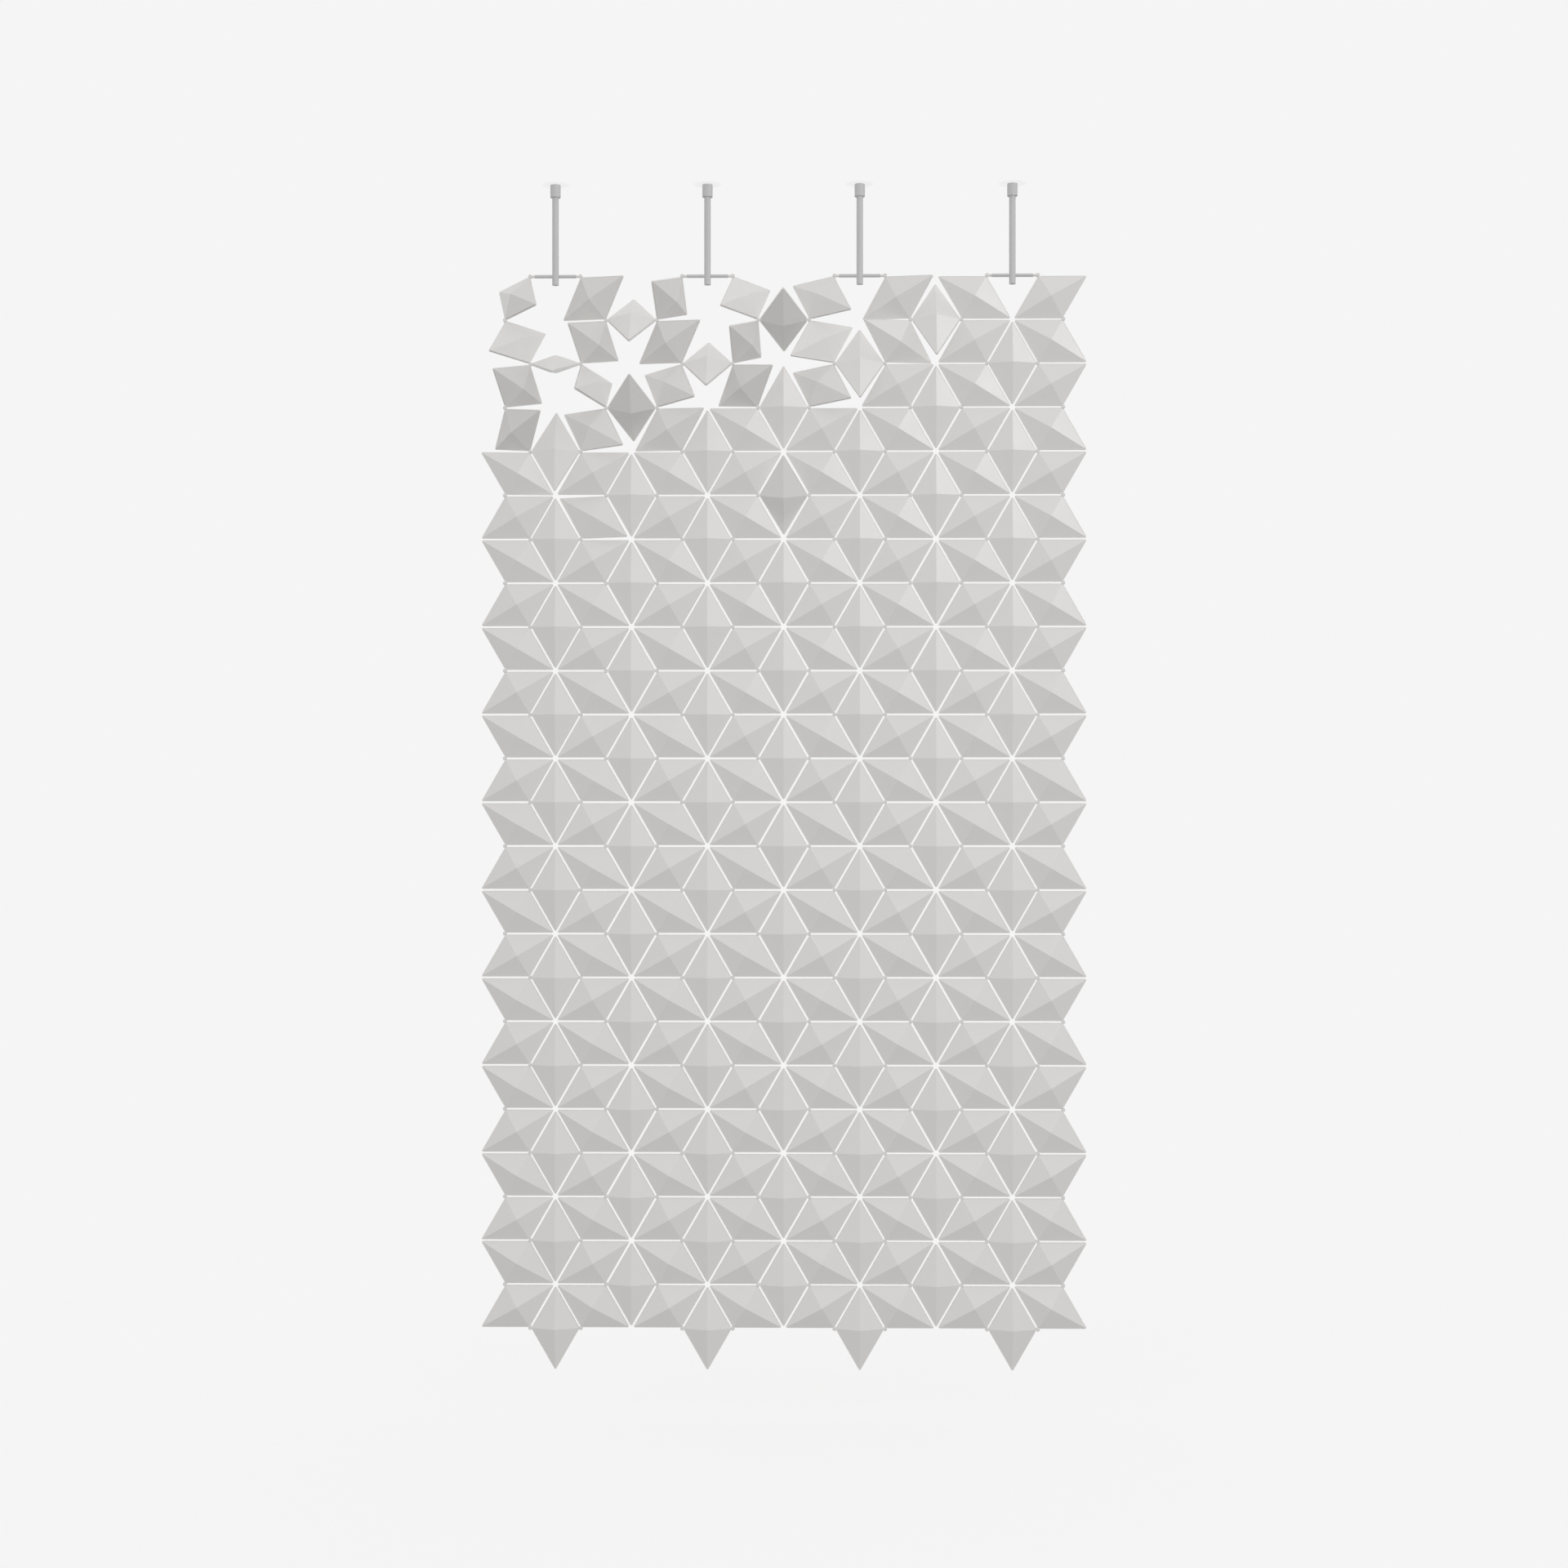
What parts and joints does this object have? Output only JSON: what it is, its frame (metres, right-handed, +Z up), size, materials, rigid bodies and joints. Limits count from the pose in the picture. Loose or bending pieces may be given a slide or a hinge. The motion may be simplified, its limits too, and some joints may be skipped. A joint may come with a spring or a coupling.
{
  "type": "hanging room divider",
  "caption": "Hanging room divider panel: a honeycomb of small hub connectors on ceiling rods, with a turning rhombic pyramid-faced facet on every edge.",
  "frame": {"origin": "in the plane of the ceiling, at the middle of the row of ceiling rods and of the panel's depth", "axes": "+X along the panel to the right, +Y away from the viewer, +Z up"},
  "size_m": [1.349, 0.1732, 2.6452],
  "materials": {
    "facet_plastic": "moulded ABS in warm light grey, fine satin grain",
    "hub_plastic": "moulded nylon in mid grey, satin",
    "rod_metal": "powder-coated steel tube in silver grey, fine satin texture",
    "plated_steel": "turned steel, zinc plated"
  },
  "bodies": {
    "frame": {"ceiling_bushes": "plated_steel", "ceiling_caps": "rod_metal", "hanger_rods": "rod_metal", "rod_collars": "plated_steel", "rod_plugs": "plated_steel", "clamp_screws": "plated_steel", "crossbars": "rod_metal", "hub_connectors": "hub_plastic", "closed_facets_module_1": "facet_plastic", "closed_facets_module_2": "facet_plastic", "closed_facets_module_3": "facet_plastic", "closed_facets_module_4": "facet_plastic"},
    "facet_column_1_row_01": {"facet_column_1_row_01": "facet_plastic"},
    "facet_column_1_row_02": {"facet_column_1_row_02": "facet_plastic"},
    "facet_column_1_row_03": {"facet_column_1_row_03": "facet_plastic"},
    "facet_column_1_row_04": {"facet_column_1_row_04": "facet_plastic"},
    "facet_column_1_row_05": {"facet_column_1_row_05": "facet_plastic"},
    "facet_column_2_row_01": {"facet_column_2_row_01": "facet_plastic"},
    "facet_column_2_row_02": {"facet_column_2_row_02": "facet_plastic"},
    "facet_column_2_row_03": {"facet_column_2_row_03": "facet_plastic"},
    "facet_column_2_row_04": {"facet_column_2_row_04": "facet_plastic"},
    "facet_column_2_row_06": {"facet_column_2_row_06": "facet_plastic"},
    "facet_column_3_row_01": {"facet_column_3_row_01": "facet_plastic"},
    "facet_column_3_row_02": {"facet_column_3_row_02": "facet_plastic"},
    "facet_column_3_row_03": {"facet_column_3_row_03": "facet_plastic"},
    "facet_column_3_row_04": {"facet_column_3_row_04": "facet_plastic"},
    "facet_column_4_row_01": {"facet_column_4_row_01": "facet_plastic"},
    "facet_column_4_row_02": {"facet_column_4_row_02": "facet_plastic"},
    "facet_column_4_row_03": {"facet_column_4_row_03": "facet_plastic"},
    "facet_column_5_row_01": {"facet_column_5_row_01": "facet_plastic"},
    "facet_column_5_row_02": {"facet_column_5_row_02": "facet_plastic"},
    "facet_column_5_row_03": {"facet_column_5_row_03": "facet_plastic"},
    "facet_column_6_row_01": {"facet_column_6_row_01": "facet_plastic"},
    "facet_column_6_row_02": {"facet_column_6_row_02": "facet_plastic"},
    "level_facets_row_01": {"level_facets_row_01": "facet_plastic"},
    "level_facets_row_02": {"level_facets_row_02": "facet_plastic"},
    "level_facets_row_03": {"level_facets_row_03": "facet_plastic"},
    "level_facets_row_04": {"level_facets_row_04": "facet_plastic"},
    "level_facets_row_05": {"level_facets_row_05": "facet_plastic"},
    "level_facets_row_06": {"level_facets_row_06": "facet_plastic"},
    "level_facets_row_07": {"level_facets_row_07": "facet_plastic"},
    "level_facets_row_08": {"level_facets_row_08": "facet_plastic"},
    "level_facets_row_09": {"level_facets_row_09": "facet_plastic"},
    "level_facets_row_10": {"level_facets_row_10": "facet_plastic"},
    "level_facets_row_11": {"level_facets_row_11": "facet_plastic"},
    "level_facets_row_12": {"level_facets_row_12": "facet_plastic"},
    "level_facets_row_13": {"level_facets_row_13": "facet_plastic"},
    "level_facets_row_14": {"level_facets_row_14": "facet_plastic"},
    "level_facets_row_15": {"level_facets_row_15": "facet_plastic"},
    "level_facets_row_16": {"level_facets_row_16": "facet_plastic"},
    "level_facets_row_17": {"level_facets_row_17": "facet_plastic"},
    "level_facets_row_18": {"level_facets_row_18": "facet_plastic"},
    "level_facets_row_19": {"level_facets_row_19": "facet_plastic"},
    "level_facets_row_20": {"level_facets_row_20": "facet_plastic"},
    "level_facets_row_21": {"level_facets_row_21": "facet_plastic"},
    "level_facets_row_22": {"level_facets_row_22": "facet_plastic"},
    "level_facets_row_23": {"level_facets_row_23": "facet_plastic"},
    "level_facets_row_24": {"level_facets_row_24": "facet_plastic"}
  },
  "joints": [
    {"name": "facet_column_1_row_01_turn", "type": "hinge", "parent": "frame", "child": "facet_column_1_row_01", "pos_m": [-0.5948, 0, -0.25296], "axis": [-0.5, 0, -0.866], "continuous": true},
    {"name": "facet_column_1_row_02_turn", "type": "hinge", "parent": "frame", "child": "facet_column_1_row_02", "pos_m": [-0.5948, 0, -0.35088], "axis": [0.5, 0, -0.866], "continuous": true},
    {"name": "facet_column_1_row_03_turn", "type": "hinge", "parent": "frame", "child": "facet_column_1_row_03", "pos_m": [-0.5948, 0, -0.4488], "axis": [-0.5, 0, -0.866], "continuous": true},
    {"name": "facet_column_1_row_04_turn", "type": "hinge", "parent": "frame", "child": "facet_column_1_row_04", "pos_m": [-0.5948, 0, -0.54672], "axis": [0.5, 0, -0.866], "continuous": true},
    {"name": "facet_column_1_row_05_turn", "type": "hinge", "parent": "frame", "child": "facet_column_1_row_05", "pos_m": [-0.5948, 0, -0.64463], "axis": [-0.5, 0, -0.866], "continuous": true},
    {"name": "facet_column_2_row_01_turn", "type": "hinge", "parent": "frame", "child": "facet_column_2_row_01", "pos_m": [-0.4252, 0, -0.25296], "axis": [0.5, 0, -0.866], "continuous": true},
    {"name": "facet_column_2_row_02_turn", "type": "hinge", "parent": "frame", "child": "facet_column_2_row_02", "pos_m": [-0.4252, 0, -0.35088], "axis": [-0.5, 0, -0.866], "continuous": true},
    {"name": "facet_column_2_row_03_turn", "type": "hinge", "parent": "frame", "child": "facet_column_2_row_03", "pos_m": [-0.4252, 0, -0.4488], "axis": [0.5, 0, -0.866], "continuous": true},
    {"name": "facet_column_2_row_04_turn", "type": "hinge", "parent": "frame", "child": "facet_column_2_row_04", "pos_m": [-0.4252, 0, -0.54672], "axis": [-0.5, 0, -0.866], "continuous": true},
    {"name": "facet_column_2_row_06_turn", "type": "hinge", "parent": "frame", "child": "facet_column_2_row_06", "pos_m": [-0.4252, 0, -0.74255], "axis": [-0.5, 0, -0.866], "continuous": true},
    {"name": "facet_column_3_row_01_turn", "type": "hinge", "parent": "frame", "child": "facet_column_3_row_01", "pos_m": [-0.2548, 0, -0.25296], "axis": [-0.5, 0, -0.866], "continuous": true},
    {"name": "facet_column_3_row_02_turn", "type": "hinge", "parent": "frame", "child": "facet_column_3_row_02", "pos_m": [-0.2548, 0, -0.35088], "axis": [0.5, 0, -0.866], "continuous": true},
    {"name": "facet_column_3_row_03_turn", "type": "hinge", "parent": "frame", "child": "facet_column_3_row_03", "pos_m": [-0.2548, 0, -0.4488], "axis": [-0.5, 0, -0.866], "continuous": true},
    {"name": "facet_column_3_row_04_turn", "type": "hinge", "parent": "frame", "child": "facet_column_3_row_04", "pos_m": [-0.2548, 0, -0.54672], "axis": [0.5, 0, -0.866], "continuous": true},
    {"name": "facet_column_4_row_01_turn", "type": "hinge", "parent": "frame", "child": "facet_column_4_row_01", "pos_m": [-0.0852, 0, -0.25296], "axis": [0.5, 0, -0.866], "continuous": true},
    {"name": "facet_column_4_row_02_turn", "type": "hinge", "parent": "frame", "child": "facet_column_4_row_02", "pos_m": [-0.0852, 0, -0.35088], "axis": [-0.5, 0, -0.866], "continuous": true},
    {"name": "facet_column_4_row_03_turn", "type": "hinge", "parent": "frame", "child": "facet_column_4_row_03", "pos_m": [-0.0852, 0, -0.4488], "axis": [0.5, 0, -0.866], "continuous": true},
    {"name": "facet_column_5_row_01_turn", "type": "hinge", "parent": "frame", "child": "facet_column_5_row_01", "pos_m": [0.0852, 0, -0.25296], "axis": [-0.5, 0, -0.866], "continuous": true},
    {"name": "facet_column_5_row_02_turn", "type": "hinge", "parent": "frame", "child": "facet_column_5_row_02", "pos_m": [0.0852, 0, -0.35088], "axis": [0.5, 0, -0.866], "continuous": true},
    {"name": "facet_column_5_row_03_turn", "type": "hinge", "parent": "frame", "child": "facet_column_5_row_03", "pos_m": [0.0852, 0, -0.4488], "axis": [-0.5, 0, -0.866], "continuous": true},
    {"name": "facet_column_6_row_01_turn", "type": "hinge", "parent": "frame", "child": "facet_column_6_row_01", "pos_m": [0.2548, 0, -0.25296], "axis": [0.5, 0, -0.866], "continuous": true},
    {"name": "facet_column_6_row_02_turn", "type": "hinge", "parent": "frame", "child": "facet_column_6_row_02", "pos_m": [0.2548, 0, -0.35088], "axis": [-0.5, 0, -0.866], "continuous": true},
    {"name": "level_facets_row_01_turn", "type": "hinge", "parent": "frame", "child": "level_facets_row_01", "pos_m": [0, 0, -0.30192], "axis": [1, 0, 0], "continuous": true},
    {"name": "level_facets_row_02_turn", "type": "hinge", "parent": "frame", "child": "level_facets_row_02", "pos_m": [0, 0, -0.39984], "axis": [1, 0, 0], "continuous": true},
    {"name": "level_facets_row_03_turn", "type": "hinge", "parent": "frame", "child": "level_facets_row_03", "pos_m": [0, 0, -0.49776], "axis": [1, 0, 0], "continuous": true},
    {"name": "level_facets_row_04_turn", "type": "hinge", "parent": "frame", "child": "level_facets_row_04", "pos_m": [0, 0, -0.59567], "axis": [1, 0, 0], "continuous": true},
    {"name": "level_facets_row_05_turn", "type": "hinge", "parent": "frame", "child": "level_facets_row_05", "pos_m": [0, 0, -0.69359], "axis": [1, 0, 0], "continuous": true},
    {"name": "level_facets_row_06_turn", "type": "hinge", "parent": "frame", "child": "level_facets_row_06", "pos_m": [0, 0, -0.79151], "axis": [1, 0, 0], "continuous": true},
    {"name": "level_facets_row_07_turn", "type": "hinge", "parent": "frame", "child": "level_facets_row_07", "pos_m": [0, 0, -0.88943], "axis": [1, 0, 0], "continuous": true},
    {"name": "level_facets_row_08_turn", "type": "hinge", "parent": "frame", "child": "level_facets_row_08", "pos_m": [0, 0, -0.98735], "axis": [1, 0, 0], "continuous": true},
    {"name": "level_facets_row_09_turn", "type": "hinge", "parent": "frame", "child": "level_facets_row_09", "pos_m": [0, 0, -1.08527], "axis": [1, 0, 0], "continuous": true},
    {"name": "level_facets_row_10_turn", "type": "hinge", "parent": "frame", "child": "level_facets_row_10", "pos_m": [0, 0, -1.18319], "axis": [1, 0, 0], "continuous": true},
    {"name": "level_facets_row_11_turn", "type": "hinge", "parent": "frame", "child": "level_facets_row_11", "pos_m": [0, 0, -1.2811], "axis": [1, 0, 0], "continuous": true},
    {"name": "level_facets_row_12_turn", "type": "hinge", "parent": "frame", "child": "level_facets_row_12", "pos_m": [0, 0, -1.37902], "axis": [1, 0, 0], "continuous": true},
    {"name": "level_facets_row_13_turn", "type": "hinge", "parent": "frame", "child": "level_facets_row_13", "pos_m": [0, 0, -1.47694], "axis": [1, 0, 0], "continuous": true},
    {"name": "level_facets_row_14_turn", "type": "hinge", "parent": "frame", "child": "level_facets_row_14", "pos_m": [0, 0, -1.57486], "axis": [1, 0, 0], "continuous": true},
    {"name": "level_facets_row_15_turn", "type": "hinge", "parent": "frame", "child": "level_facets_row_15", "pos_m": [0, 0, -1.67278], "axis": [1, 0, 0], "continuous": true},
    {"name": "level_facets_row_16_turn", "type": "hinge", "parent": "frame", "child": "level_facets_row_16", "pos_m": [0, 0, -1.7707], "axis": [1, 0, 0], "continuous": true},
    {"name": "level_facets_row_17_turn", "type": "hinge", "parent": "frame", "child": "level_facets_row_17", "pos_m": [0, 0, -1.86862], "axis": [1, 0, 0], "continuous": true},
    {"name": "level_facets_row_18_turn", "type": "hinge", "parent": "frame", "child": "level_facets_row_18", "pos_m": [0, 0, -1.96653], "axis": [1, 0, 0], "continuous": true},
    {"name": "level_facets_row_19_turn", "type": "hinge", "parent": "frame", "child": "level_facets_row_19", "pos_m": [0, 0, -2.06445], "axis": [1, 0, 0], "continuous": true},
    {"name": "level_facets_row_20_turn", "type": "hinge", "parent": "frame", "child": "level_facets_row_20", "pos_m": [0, 0, -2.16237], "axis": [1, 0, 0], "continuous": true},
    {"name": "level_facets_row_21_turn", "type": "hinge", "parent": "frame", "child": "level_facets_row_21", "pos_m": [0, 0, -2.26029], "axis": [1, 0, 0], "continuous": true},
    {"name": "level_facets_row_22_turn", "type": "hinge", "parent": "frame", "child": "level_facets_row_22", "pos_m": [0, 0, -2.35821], "axis": [1, 0, 0], "continuous": true},
    {"name": "level_facets_row_23_turn", "type": "hinge", "parent": "frame", "child": "level_facets_row_23", "pos_m": [0, 0, -2.45613], "axis": [1, 0, 0], "continuous": true},
    {"name": "level_facets_row_24_turn", "type": "hinge", "parent": "frame", "child": "level_facets_row_24", "pos_m": [0, 0, -2.55405], "axis": [1, 0, 0], "continuous": true}
  ]
}
